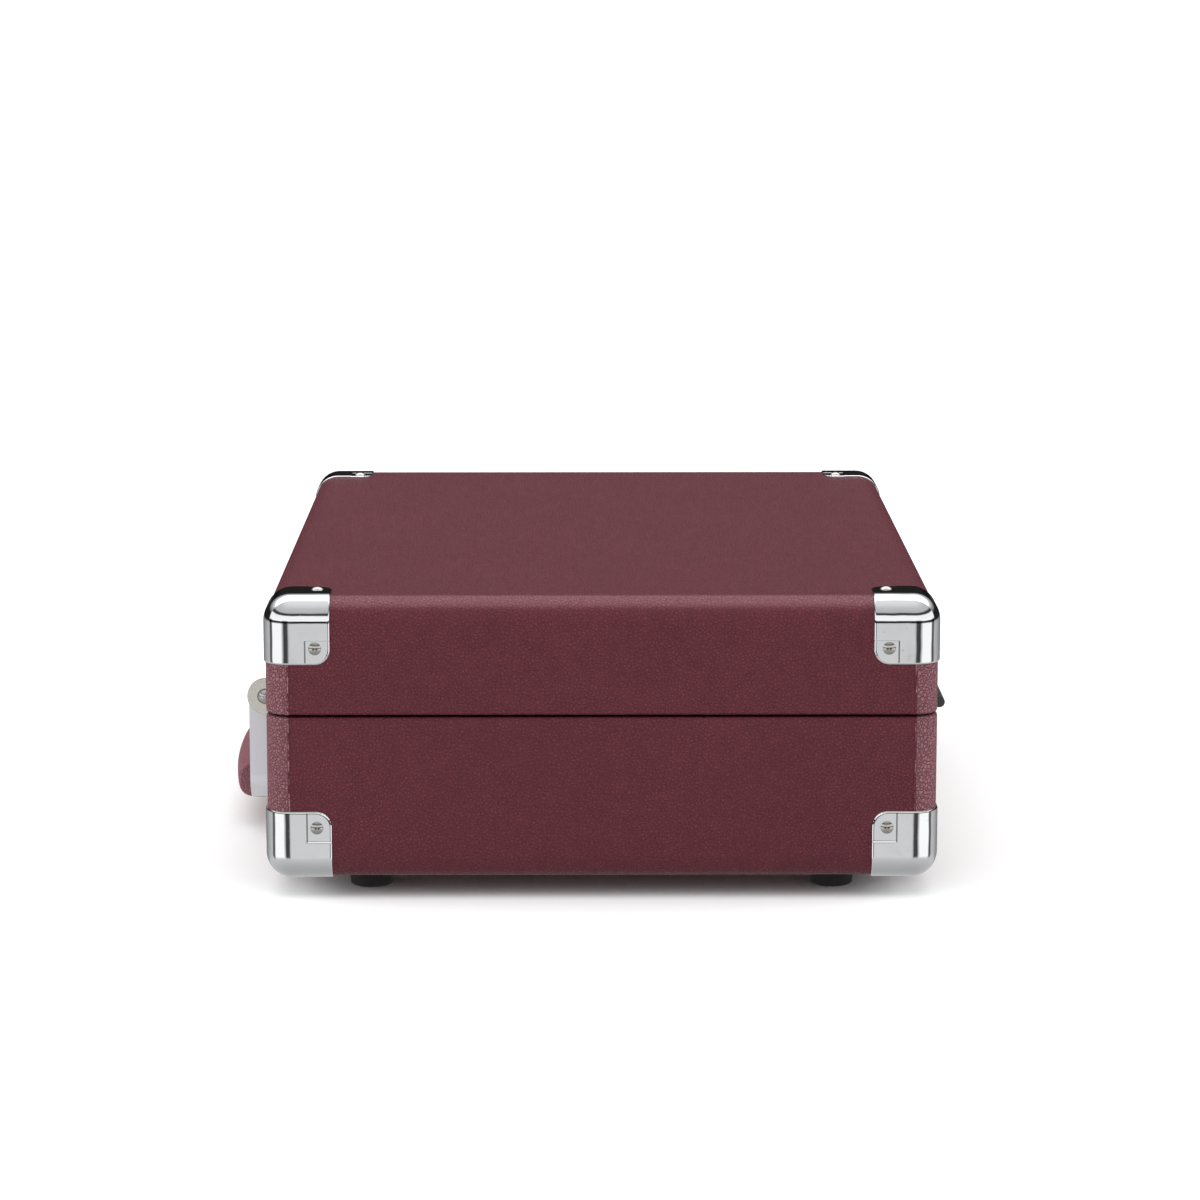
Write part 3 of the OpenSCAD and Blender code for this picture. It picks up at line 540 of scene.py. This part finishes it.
def covering(name, node, closed, rim):
    """A closed thin skin: flat face, rolled edge, wall, and the turned-over rim."""
    t, wall = 0.8, 6.5
    s = 1 if rim > closed else -1
    sec = []                                      # (inset, height), outside first
    sec += [(R + 60, closed), (R + 12, closed), (R + 1.0, closed)]
    for i in range(13):
        a = math.pi / 2 * i / 12
        sec.append((R - R * math.sin(a), closed + s * (R - R * math.cos(a))))
    h1 = rim - s * 1.0
    for i in range(1, 8):
        sec.append((0.0, closed + s * R + (h1 - closed - s * R) * i / 8))
    for i in range(7):
        a = math.pi / 2 * i / 6
        sec.append((1.0 - 1.0 * math.cos(a), h1 + s * 1.0 * math.sin(a)))
    sec += [(wall * 0.5, rim)]
    for i in range(4):
        a = math.pi / 2 * i / 3
        sec.append((wall - 0.5 + 0.5 * math.sin(a), rim - s * 0.5 + s * 0.5 * math.cos(a)))
    sec += [(wall, rim - s * t), (t + 0.4, rim - s * t), (t, rim - s * (t + 0.4)), (t, closed + s * R)]
    for i in range(1, 9):
        a = math.pi / 2 * (1 - i / 8)
        sec.append((R - (R - t) * math.sin(a), closed + s * (R - (R - t) * math.cos(a))))
    sec += [(R + 1.0, closed + s * t), (R + 60, closed + s * t)]
    verts, faces = [], []
    n = len(perimeter(0))
    for k, (e, z) in enumerate(sec):
        inside = e if e <= R else R
        ring = perimeter(inside, step=(k < 30))
        if e > R:                                  # shrink flat rings towards the middle
            ring = [(x * (1 - (e - R) / (HX)), y * (1 - (e - R) / (HX))) for x, y in ring]
        verts += [P(x, y, z) for x, y in ring]
    for k in range(len(sec) - 1):
        for i in range(n):
            j = (i + 1) % n
            faces.append([k * n + i, k * n + j, (k + 1) * n + j, (k + 1) * n + i])
    faces.append([i for i in range(n)][::-1])
    faces.append([(len(sec) - 1) * n + i for i in range(n)])
    return from_arrays(name, verts, faces, "leatherette", BODY_OF[node], replaces=(node,), merge=2e-6, smooth=50)


def cut_out(ob, boxes, pins):
    """Cuts box and round openings clean through a mesh."""
    bm = bmesh.new()
    for (x0, y0, z0), (x1, y1, z1) in boxes:
        m = Matrix.Translation(P((x0 + x1) / 2, (y0 + y1) / 2, (z0 + z1) / 2)) @ Matrix.Diagonal(
            ((x1 - x0) * MM, (y1 - y0) * MM, (z1 - z0) * MM, 1))
        bmesh.ops.create_cube(bm, size=1.0, matrix=m)
    for x, y, z0, z1, r in pins:
        bmesh.ops.create_cone(bm, cap_ends=True, segments=32, radius1=r * MM, radius2=r * MM, depth=(z1 - z0) * MM,
                              matrix=Matrix.Translation(P(x, y, (z0 + z1) / 2)))
    me = bpy.data.meshes.new("cutter")
    bm.to_mesh(me)
    bm.free()
    tool = bpy.data.objects.new("cutter", me)
    bpy.context.scene.collection.objects.link(tool)
    mod = ob.modifiers.new("cut", "BOOLEAN")
    mod.solver = "EXACT"
    mod.operation = "DIFFERENCE"
    mod.object = tool
    others = [m for m in ob.modifiers if m != mod]
    for m in others:
        m.show_viewport = False
    bpy.context.view_layer.update()
    cut = bpy.data.meshes.new_from_object(ob.evaluated_get(bpy.context.evaluated_depsgraph_get()))
    for m in others:
        m.show_viewport = True
    ob.modifiers.remove(mod)
    old = ob.data
    ob.data = cut
    cut.name = ob.name
    bpy.data.meshes.remove(old)
    bpy.data.objects.remove(tool)
    bpy.data.meshes.remove(me)
    for p in cut.polygons:
        p.use_smooth = True
    cut.set_sharp_from_angle(angle=math.radians(50))


_c = covering("base_leatherette", "base_covering", Z0, RIM)
_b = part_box("latch_bolt_right")
_lx, _lz = (_b[0].x + _b[1].x) / 2 / MM, (_b[0].z + _b[1].z) / 2 / MM
_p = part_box("rear_panel")
_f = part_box("rubber_feet")
_fx, _fy = _f[1].x / MM - 9.2, (_f[1].y - _f[0].y) / 2 / MM - 9.2
cut_out(_c, [((-104, HY - 12, 30), (-30, HY + 2, 54))] +
        [((a * _lx - 9, -HY - 2, _lz - 6), (a * _lx + 9, -HY + 3.5, _lz + 6)) for a in (-1, 1)],
        [(a * _fx, b * _fy, 0, 20, 2.0) for a in (-1, 1) for b in (-1, 1)])
covering("lid_leatherette", "lid_covering", Z_TOP, LID_Z)


# ---------------------------------------------------------------- corner plates
LEG = 26.0
UP = {"base": (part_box("base_corner_plates")[1].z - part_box("base_corner_plates")[0].z) / MM,
      "lid": (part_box("lid_corner_plates")[1].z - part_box("lid_corner_plates")[0].z) / MM}


def corner(name, sx, sy, top, node):
    """One pressed corner: three legs, rolled edges, a ball at the point, and a stepped nail pad on each face."""
    body = BODY_OF[node]
    cx, cy = HX - R, HY - R
    cz = (Z_TOP - R) if top else (Z0 + R)
    sz = 1 if top else -1
    rr = R + PLATE
    fr, depth = 6.0, 0.30
    thick = PLATE - 0.02
    full = (LEG + PLATE, LEG + PLATE, UP["lid" if top else "base"])
    pads = (9.7, 9.7, 9.6 if top else 12.4)          # how far the nail pad runs in from the free edges
    verts, faces = [], []

    def lines(axis):
        pad, leg = pads[axis], full[axis]
        xs = list(np.arange(0, leg, 0.5)) + [0.12, 0.3, pad - 0.30, pad - 0.1, pad + 0.1, pad + 0.30]
        xs = sorted(xs)
        out = [xs[0]]
        for x in xs[1:]:
            if x - out[-1] > 0.11:
                out.append(x)
        if leg - out[-1] < 0.2:
            out.pop()
        out.append(leg)
        return out

    L = [lines(k) for k in range(3)]

    def shape(u, v):
        """Pulls points outside the rounded free corner onto its arc."""
        if u < fr and v < fr:
            dx, dy = fr - u, fr - v
            d = math.hypot(dx, dy)
            if d > fr:
                return fr - dx * fr / d, fr - dy * fr / d
        return u, v

    def pressed(u, v, pu, pv):
        """Height of the nail pad below the rest of the plate."""
        f = lambda q, pad: min(1.0, max(0.0, (q - (pad - 0.25)) / 0.5))
        g = lambda q: q * q * (3 - 2 * q)
        return -depth * (1 - max(g(f(u, pu)), g(f(v, pv))))

    def edge_fall(u, v):
        """The cut edge rolls in a little."""
        if u < fr and v < fr:
            d = fr - math.hypot(fr - u, fr - v)
        else:
            d = min(u, v)
        return -0.28 * max(0.0, 1 - d / 0.6) ** 2

    for face in range(3):
        ax, bx = [(1, 2), (0, 2), (0, 1)][face]
        A, B = L[ax], L[bx]
        na, nb = len(A), len(B)
        starts = []
        for layer in (0, 1):
            starts.append(len(verts))
            for a in A:
                for b in B:
                    u, v = shape(a, b)
                    q = [0, 0, 0]
                    q[face] = rr
                    q[ax] = u - full[ax] + rr
                    q[bx] = v - full[bx] + rr
                    k = [min(q[0], 0), min(q[1], 0), min(q[2], 0)]
                    d = np.array(q, float) - np.array(k, float)
                    nrm = d / np.linalg.norm(d)
                    h = rr + (pressed(u, v, pads[ax], pads[bx]) * 0.5 + edge_fall(u, v) if layer == 0 else -thick)
                    p = np.array(k) + nrm * h
                    verts.append(P(sx * (cx + p[0]), sy * (cy + p[1]), cz + sz * p[2]))
            s0 = starts[-1]
            for i in range(na - 1):
                for j in range(nb - 1):
                    faces.append([s0 + i * nb + j, s0 + (i + 1) * nb + j, s0 + (i + 1) * nb + j + 1, s0 + i * nb + j + 1])
        # close the cut edges between the two layers
        b0, b1 = starts
        for j in range(nb - 1):
            faces.append([b0 + j, b0 + j + 1, b1 + j + 1, b1 + j])
        for i in range(na - 1):
            faces.append([b0 + i * nb, b0 + (i + 1) * nb, b1 + (i + 1) * nb, b1 + i * nb])
    return from_arrays(name, verts, faces, "bright_plating", body, merge=3e-5, smooth=38, weighted=True)


for top, node, label in ((False, "base_corner_plates", "base"), (True, "lid_corner_plates", "lid")):
    for sx in (-1, 1):
        for sy in (-1, 1):
            o = corner(f"{label}_corner_{'r' if sx > 0 else 'l'}{'b' if sy > 0 else 'f'}", sx, sy, top, node)
    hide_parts(node)


# ---------------------------------------------------------------- dome nails
def nails(name, node, top):
    cz, sz = ((Z_TOP, 1) if top else (Z0, -1))
    dome, rad = 1.0, 2.6
    ball = (rad * rad + dome * dome) / (2 * dome)
    half = math.asin(rad / ball)
    prof = [(ball * math.sin(half * i / 12), dome - ball + ball * math.cos(half * i / 12)) for i in range(12)]
    prof += [(rad - 0.04, 0.03), (rad, -0.06), (rad - 0.05, -0.3), (1.0, -0.35), (1.0, -4.0), (0.0, -4.0)]
    v0, f0 = revolve(prof, 40)
    verts, faces = [], []
    g = 5.8
    up = UP["lid" if top else "base"] - PLATE
    for sx in (-1, 1):
        for sy in (-1, 1):
            zz = cz - sz * (up - g - 0.7)
            for pos, nrm in (((sx * (HX + PLATE - 0.12), sy * (HY - LEG + g), zz), (sx, 0, 0)),
                             ((sx * (HX - LEG + g), sy * (HY + PLATE - 0.12), zz), (0, sy, 0)),
                             ((sx * (HX - LEG + g), sy * (HY - LEG + g), cz + sz * (PLATE - 0.12)), (0, 0, sz))):
                q = Vector((0, 0, 1)).rotation_difference(Vector(nrm))
                base = len(verts)
                for v in v0:
                    w = q @ Vector(v)
                    verts.append(P(pos[0] + w.x, pos[1] + w.y, pos[2] + w.z))
                faces += [[base + i for i in f] for f in f0]
    return from_arrays(name, verts, faces, "nail", BODY_OF[node], slot="bright_plating", replaces=(node,), merge=None, smooth=50)


nails("base_dome_nails", "base_corner_nails", False)
nails("lid_dome_nails", "lid_corner_nails", True)


# ---------------------------------------------------------------- handle grip
def grip():
    lo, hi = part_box("handle_grip")
    x1 = hi.x / MM
    zc = (lo.z + hi.z) / 2 / MM
    yin, yout = hi.y / MM - YO, lo.y / MM - YO
    hh = (hi.z - lo.z) / 2 / MM
    secs, m = [], 56
    xs = []
    for i in range(97):
        t = -1 + 2 * i / 96
        xs.append(math.copysign(abs(t) ** 0.92, t))
    verts, faces = [], []
    for t in xs:
        x = t * x1
        k = 1 - abs(t) ** 2.39
        out = yin + (yout - yin) * (0.827 + 0.160 * k)
        h = hh * (0.717 + 0.278 * (1 - t * t))
        end = min(1.0, max(0.0, (1 - abs(t)) / 0.03))
        sc = 0.86 + 0.14 * math.sqrt(max(0.0, 1 - (1 - end) ** 2))
        yc = (out + yin) / 2
        hw = abs(yin - out) / 2
        for j in range(m):
            a = 2 * math.pi * j / m
            c, s = math.cos(a), math.sin(a)
            e = 2 / 2.88
            dy = math.copysign(abs(c) ** e, c) * hw
            dz = math.copysign(abs(s) ** e, s) * h
            if c > 0:                         # flatter on the side towards the case
                dy *= 0.94
            # soft folds of the wrapped cloth near the ends, and a pressed line where it is stitched
            fold = 0.10 * math.sin(x * 0.9 + 3 * s) * (abs(t) ** 6)
            groove = -0.32 * math.exp(-((a - math.radians(52)) / 0.045) ** 2) - 0.32 * math.exp(-((a - math.radians(308)) / 0.045) ** 2)
            f = sc + (fold + groove) / hw * (1 if end > 0.5 else 0)
            verts.append(P(x, yc + dy * f, zc + dz * (sc + (fold + groove) / h)))
    n = len(xs)
    for i in range(n - 1):
        for j in range(m):
            k = (j + 1) % m
            faces.append([i * m + j, i * m + k, (i + 1) * m + k, (i + 1) * m + j])
    faces.append(list(range(m)))
    faces.append([(n - 1) * m + j for j in range(m)][::-1])
    g = from_arrays("grip_cover", verts, faces, "grip_leatherette", BODY_OF["handle_grip"], replaces=("handle_grip",), merge=1e-6, smooth=60)
    return g


grip()

# ---------------------------------------------------------------- rivets of the hinge leaves
def rivets(name, body, mat, places, rad, tall, slot=None):
    """Low domed heads; each place is a point and the way it faces."""
    prof = [(rad * math.sin(math.pi / 2 * i / 8), tall * math.cos(math.pi / 2 * i / 8)) for i in range(8)]
    prof += [(rad, 0.0), (rad, -0.25), (0.0, -0.25)]
    v0, f0 = revolve(prof, 28)
    verts, faces = [], []
    for pos, nrm in places:
        q = Vector((0, 0, 1)).rotation_difference(Vector(nrm))
        base = len(verts)
        verts += [P(*(Vector(pos) + q @ Vector(v))) for v in v0]
        faces += [[base + i for i in f] for f in f0]
    return from_arrays(name, verts, faces, mat, body, slot=slot, merge=None, smooth=50)


for _node, _s in (("hinge_base_leaves", -1), ("hinge_lid_leaves", 1)):
    _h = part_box(_node)
    _mid = (RIM + LID_Z) / 2
    _hx = _h[1].x / MM - 19
    rivets(_node.replace("leaves", "rivets"), BODY_OF[_node], "dark_hinge",
           [((a * _hx + d, HY + 1.1, _mid + _s * 10.2), (0, 1, 0)) for a in (-1, 1) for d in (-12.5, 0, 12.5)], 1.9, 0.6)

# ---------------------------------------------------------------- printed scales on the deck
def deck_marks():
    """Raised ink: dial ticks round the knobs, end marks by the switches and the three speeds as plain figures."""
    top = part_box("deck_plate")[1].z / MM
    bm = bmesh.new()

    def bar(x0, y0, x1, y1, w):
        d = Vector((x1 - x0, y1 - y0, 0))
        if d.length < 1e-6:
            return
        d.normalize()
        n = Vector((-d.y, d.x, 0)) * (w / 2)
        a, b = Vector((x0, y0, 0)) - d * w * 0.4, Vector((x1, y1, 0)) + d * w * 0.4
        low, high = [], []
        for p in (a - n, b - n, b + n, a + n):
            low.append(bm.verts.new(P(p.x, p.y, top - 0.02)))
            high.append(bm.verts.new(P(p.x, p.y, top + 0.07)))
        bm.faces.new(high)
        bm.faces.new(low[::-1])
        for k in range(4):
            m = (k + 1) % 4
            bm.faces.new([low[k], low[m], high[m], high[k]])

    for node, r0, span in (("volume_knob", 12.6, 300), ("tone_knob", 9.0, 280)):
        lo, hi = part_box(node)
        cx, cy = (lo.x + hi.x) / 2 / MM, (lo.y + hi.y) / 2 / MM - YO
        for k in range(11):
            a = math.radians(-90 - (360 - span) / 2 - span * k / 10)
            ln = 2.2 if k in (0, 5, 10) else 1.3
            bar(cx + r0 * math.cos(a), cy + r0 * math.sin(a), cx + (r0 + ln) * math.cos(a), cy + (r0 + ln) * math.sin(a), 0.35)
    seg = {"a": (0, 1, 1, 1), "b": (1, 1, 1, 0.5), "c": (1, 0.5, 1, 0), "d": (0, 0, 1, 0), "e": (0, 0.5, 0, 0),
           "f": (0, 1, 0, 0.5), "g": (0, 0.5, 1, 0.5)}
    shape = {"3": "abcdg", "4": "bcfg", "5": "acdfg", "7": "abc", "8": "abcdefg"}

    def figures(txt, x, y, h=2.6):
        w = h * 0.55
        x -= (len(txt) * (w + 0.8) - 0.8) / 2
        for ch in txt:
            for q in shape[ch]:
                u0, v0, u1, v1 = seg[q]
                bar(x + u0 * w, y + v0 * h, x + u1 * w, y + v1 * h, 0.32)
            x += w + 0.8

    lo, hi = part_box("speed_switch")
    sx0, sy = (lo.x + hi.x) / 2 / MM, (lo.y + hi.y) / 2 / MM - YO
    for k, txt in enumerate(("33", "45", "78")):
        xx = sx0 + 7 * k
        bar(xx, sy + 3.6, xx, sy + 4.8, 0.3)
        figures(txt, xx, sy + 5.8)
    for node in ("autostop_switch", "source_switch"):
        lo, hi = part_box(node)
        cx, y0 = (lo.x + hi.x) / 2 / MM, (lo.y + hi.y) / 2 / MM - YO
        span = 10 if node == "autostop_switch" else 16
        for k in range(2 if span == 10 else 3):
            yy = y0 + span * k / (1 if span == 10 else 2)
            bar(cx + 4.2, yy, cx + 6.4, yy, 0.3)
    ob = mesh_object("deck_marks", bm, "ink", BODY_OF["deck_plate"], slot="control_grey", smooth=30, weighted=False)
    return ob


deck_marks()

# ---------------------------------------------------------------- carried-over CAD nodes
SLOT_OF = {s["node"]: s["material_slot"] for s in frame["record"]["subparts"]}
REPLACED = {"base_covering", "lid_covering", "base_corner_plates", "lid_corner_plates",
            "base_corner_nails", "lid_corner_nails", "handle_grip"}
BEVEL = {"handle_frame": 0.35, "handle_brackets": 0.3, "deck_plate": 0.25, "rubber_feet": 0.5, "headshell": 0.5,
         "tonearm_base": 0.5, "volume_knob": 0.3, "tone_knob": 0.3, "platter": 0.35, "adapter_45": 0.35,
         "arm_rest": 0.4, "arm_yoke": 0.5, "counterweight": 0.6, "cue_lever": 0.4, "speed_switch": 0.3,
         "autostop_switch": 0.3, "source_switch": 0.3, "hasp_left": 0.25, "hasp_right": 0.25, "hasp_hinges": 0.2,
         "latch_plates": 0.25, "hinge_base_leaves": 0.2, "hinge_lid_leaves": 0.2, "slipmat": 0.3,
         "case_screws": 0.2, "rear_panel": 0.25, "rear_jacks": 0.2, "cartridge": 0.3, "tonearm_tube": 0.3}
for name, ob in nodes.items():
    if name in REPLACED:
        continue
    mat = M[SLOT_OF[name]]
    if not ob.material_slots:
        ob.data.materials.append(mat)
    for s in ob.material_slots:
        s.material = mat
    w = BEVEL.get(name)
    if w:
        b = ob.modifiers.new("bevel", "BEVEL")
        b.width = w * MM
        b.segments = 2
        b.limit_method = "ANGLE"
        b.angle_limit = math.radians(40)
        b.harden_normals = False


# ---------------------------------------------------------------- floor, light, background
def studio():
    sc = bpy.context.scene
    sc.view_settings.view_transform = "Standard"
    sc.view_settings.look = "None"
    sc.view_settings.exposure = 0.0
    w = bpy.data.worlds.new("studio")
    sc.world = w
    w.use_nodes = True
    n = N(w)
    n.n.clear()
    out = n.new("ShaderNodeOutputWorld")
    bg = n.new("ShaderNodeBackground")
    lp = n.new("ShaderNodeLightPath")
    d = n.new("ShaderNodeTexCoord").outputs["Generated"]
    x, y, z = n.xyz(d)
    # what bright metal sees: a pale room with a dark line at the horizon, dark flags to either side
    # of the camera, a softbox overhead and a dark room behind
    def stops(v, lo, hi, pts):
        cr = n.new("ShaderNodeValToRGB")
        n.put(cr.inputs[0], n.ramp(v, lo, hi, 0.0, 1.0, smooth=False))
        e = cr.color_ramp.elements
        while len(e) < len(pts):
            e.new(0.5)
        for k, (p, c) in zip(e, pts):
            k.position = (p - lo) / (hi - lo)
            k.color = (c, c, c, 1)
        return cr.outputs[0]
    front = stops(z, -1, 1, [(-1.0, 0.42), (-0.50, 0.60), (-0.30, 0.72), (-0.150, 0.68), (-0.125, 0.40), (-0.110, 0.02),
                             (0.010, 0.02), (0.060, 1.10), (0.400, 1.05), (0.450, 0.05), (0.560, 0.05), (0.62, 0.50),
                             (0.85, 0.60), (1.0, 0.85)])
    back = stops(z, -1, 1, [(-1.0, 0.42), (-0.45, 0.60), (-0.12, 0.40), (-0.05, 0.02), (0.30, 0.012), (0.44, 0.30),
                            (0.62, 0.75), (0.72, 2.2), (0.94, 2.4), (1.0, 1.0)])
    rise = n.mix(n.ramp(x, -0.16, -0.04), back, front)
    az = n.math("ABSOLUTE", n.math("ARCTAN2", y, x))
    round_ = stops(az, 0.0, 3.1416, [(0.0, 1.0), (0.10, 1.0), (0.20, 0.10), (0.44, 0.07), (0.66, 1.60), (1.36, 1.60),
                                     (1.46, 0.15), (1.62, 0.15), (1.72, 1.20), (2.05, 1.00), (2.35, 0.70), (2.75, 0.45),
                                     (3.1416, 0.10)])
    low = n.ramp(z, -0.50, -0.28, 1.0, 0.0)
    spec = n.mix(n.math("MAXIMUM", n.ramp(z, -0.02, 0.12), low), round_, (1.0, 1.0, 1.0, 1))
    mul = n.new("ShaderNodeVectorMath", operation="MULTIPLY")
    n.put(mul.inputs[0], spec)
    n.put(mul.inputs[1], rise)
    tint = n.new("ShaderNodeVectorMath", operation="MULTIPLY")
    n.put(tint.inputs[0], mul.outputs[0])
    tint.inputs[1].default_value = (0.99, 1.0, 1.01)
    soft = n.mix(n.ramp(z, 0.0, 0.95), (0.62, 0.62, 0.63, 1), (1.30, 1.30, 1.30, 1))
    col = n.mix(lp.outputs["Is Glossy Ray"], soft, tint.outputs[0])
    col = n.mix(lp.outputs["Is Camera Ray"], col, (1.0, 1.0, 1.0, 1))
    n.put(bg.inputs["Color"], col)
    bg.inputs["Strength"].default_value = 1.0
    n.l.new(bg.outputs[0], out.inputs[0])

    m, nn, b = material("floor_white", Roughness=0.9, Specular_IOR_Level=0.0)
    o = nn.obj()
    nn.put(b.inputs["Base Color"], nn.mix(nn.noise(o, 3.0, 2.0), (0.90, 0.90, 0.90, 1), (0.93, 0.93, 0.93, 1)))
    me = bpy.data.meshes.new("floor")
    s = 30.0
    me.from_pydata([(-s, -s, 0), (s, -s, 0), (s, s, 0), (-s, s, 0)], [], [(0, 1, 2, 3)])
    me.materials.append(m)
    fl = bpy.data.objects.new("floor", me)
    sc.collection.objects.link(fl)
    fl.visible_glossy = False

    def area(name, loc, target, size, power, sy=None):
        l = bpy.data.lights.new(name, "AREA")
        l.shape = "RECTANGLE"
        l.size = size
        l.size_y = sy or size
        l.energy = power
        ob = bpy.data.objects.new(name, l)
        sc.collection.objects.link(ob)
        ob.location = loc
        ob.rotation_euler = (Vector(target) - Vector(loc)).to_track_quat("-Z", "Y").to_euler()
        ob.visible_glossy = False
        return ob

    area("key", (0.5, -0.2, 2.6), (0, 0, 0.05), 2.6, 16)
    area("side_left", (0.25, -1.9, 0.75), (0.1, 0, 0.06), 1.3, 19)
    area("side_right", (0.25, 1.9, 0.75), (0.1, 0, 0.06), 1.3, 19)


studio()
